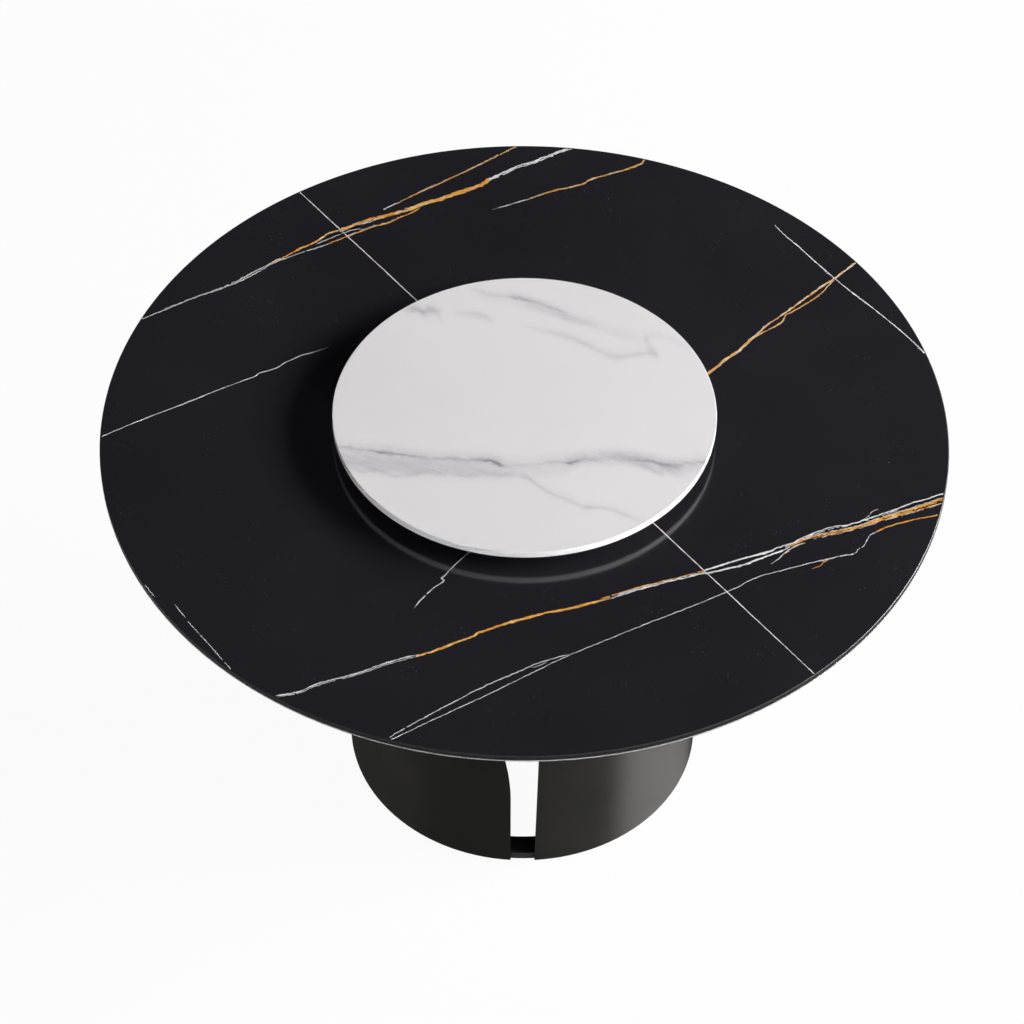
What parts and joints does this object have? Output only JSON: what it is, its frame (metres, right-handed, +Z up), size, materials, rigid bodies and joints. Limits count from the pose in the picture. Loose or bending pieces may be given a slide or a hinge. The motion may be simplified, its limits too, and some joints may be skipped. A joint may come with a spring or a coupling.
{
  "type": "dining table with lazy susan",
  "caption": "Round dining table: veined black stone top on a slotted metal drum base, with a smaller white stone turntable on a ball bearing at its centre.",
  "frame": {"origin": "on the floor under the centre of the table, at the foot soles' lower faces", "axes": "+Z up, -Y towards the front, where the drum's slot shows; +X to the right seen from the front"},
  "size_m": [1.3498, 1.35, 0.785],
  "materials": {
    "black_stone": "polished black stone with white and gold veins",
    "white_stone": "satin white stone with soft grey veins",
    "backing_glass": "pale toughened glass sheet, ground edge",
    "dark_board": "black stained plywood",
    "gunmetal": "satin gunmetal with fine upright brushing",
    "black_steel": "satin black powder coat",
    "zinc_steel": "bright zinc plate",
    "race_aluminium": "turned aluminium",
    "ball_steel": "polished bearing steel",
    "cage_nylon": "natural nylon",
    "foot_nylon": "black moulded nylon",
    "foot_rubber": "matt black rubber",
    "silicone": "translucent grey silicone"
  },
  "bodies": {
    "table": {"tabletop_slab": "black_stone", "backing_sheet": "backing_glass", "support_board": "dark_board", "threaded_inserts": "zinc_steel", "mounting_bolts": "zinc_steel", "mounting_washers": "zinc_steel", "left_panel": "gunmetal", "right_panel": "gunmetal", "base_ring": "black_steel", "top_ring": "black_steel", "lower_cleats": "black_steel", "upper_cleats": "black_steel", "lower_cleat_bolts": "zinc_steel", "upper_cleat_bolts": "zinc_steel", "panel_studs": "zinc_steel", "stud_nuts": "zinc_steel", "foot_lock_nuts": "zinc_steel", "lower_pads": "silicone", "bearing_inner_race": "race_aluminium"},
    "turntable": {"turntable_plate": "white_stone", "upper_pads": "silicone", "bearing_outer_race": "race_aluminium"},
    "ball_cage": {"bearing_cage": "cage_nylon", "bearing_balls": "ball_steel"},
    "foot_front_right": {"foot_pad_front_right": "foot_nylon", "foot_sole_front_right": "foot_rubber"},
    "stem_front_right": {"foot_stem_front_right": "zinc_steel"},
    "foot_rear_right": {"foot_pad_rear_right": "foot_nylon", "foot_sole_rear_right": "foot_rubber"},
    "stem_rear_right": {"foot_stem_rear_right": "zinc_steel"},
    "foot_rear_left": {"foot_pad_rear_left": "foot_nylon", "foot_sole_rear_left": "foot_rubber"},
    "stem_rear_left": {"foot_stem_rear_left": "zinc_steel"},
    "foot_front_left": {"foot_pad_front_left": "foot_nylon", "foot_sole_front_left": "foot_rubber"},
    "stem_front_left": {"foot_stem_front_left": "zinc_steel"}
  },
  "joints": [
    {"name": "turntable_spin", "type": "hinge", "parent": "table", "child": "turntable", "pos_m": [0, 0, 0.7615], "axis": [0, 0, 1], "continuous": true},
    {"name": "cage_orbit", "type": "hinge", "parent": "table", "child": "ball_cage", "pos_m": [0, 0, 0.7615], "axis": [0, 0, 1], "continuous": true},
    {"name": "foot_slide_front_right", "type": "slide", "parent": "table", "child": "foot_front_right", "axis": [0, 0, -1], "range_m": [-0.002, 0.006]},
    {"name": "stem_turn_front_right", "type": "hinge", "parent": "foot_front_right", "child": "stem_front_right", "pos_m": [0.19672, -0.19672, 0.0147], "axis": [0, 0, -1], "range_deg": [-580, 1735]},
    {"name": "foot_slide_rear_right", "type": "slide", "parent": "table", "child": "foot_rear_right", "axis": [0, 0, -1], "range_m": [-0.002, 0.006]},
    {"name": "stem_turn_rear_right", "type": "hinge", "parent": "foot_rear_right", "child": "stem_rear_right", "pos_m": [0.19672, 0.19672, 0.0147], "axis": [0, 0, -1], "range_deg": [-580, 1735]},
    {"name": "foot_slide_rear_left", "type": "slide", "parent": "table", "child": "foot_rear_left", "axis": [0, 0, -1], "range_m": [-0.002, 0.006]},
    {"name": "stem_turn_rear_left", "type": "hinge", "parent": "foot_rear_left", "child": "stem_rear_left", "pos_m": [-0.19672, 0.19672, 0.0147], "axis": [0, 0, -1], "range_deg": [-580, 1735]},
    {"name": "foot_slide_front_left", "type": "slide", "parent": "table", "child": "foot_front_left", "axis": [0, 0, -1], "range_m": [-0.002, 0.006]},
    {"name": "stem_turn_front_left", "type": "hinge", "parent": "foot_front_left", "child": "stem_front_left", "pos_m": [-0.19672, -0.19672, 0.0147], "axis": [0, 0, -1], "range_deg": [-580, 1735]}
  ],
  "couplings": [
    {"joint": "cage_orbit", "follows": "turntable_spin", "ratio": 0.5094},
    {"joint": "stem_turn_front_right", "follows": "foot_slide_front_right", "rad_per_m": 5026.5},
    {"joint": "stem_turn_rear_right", "follows": "foot_slide_rear_right", "rad_per_m": 5026.5},
    {"joint": "stem_turn_rear_left", "follows": "foot_slide_rear_left", "rad_per_m": 5026.5},
    {"joint": "stem_turn_front_left", "follows": "foot_slide_front_left", "rad_per_m": 5026.5}
  ]
}
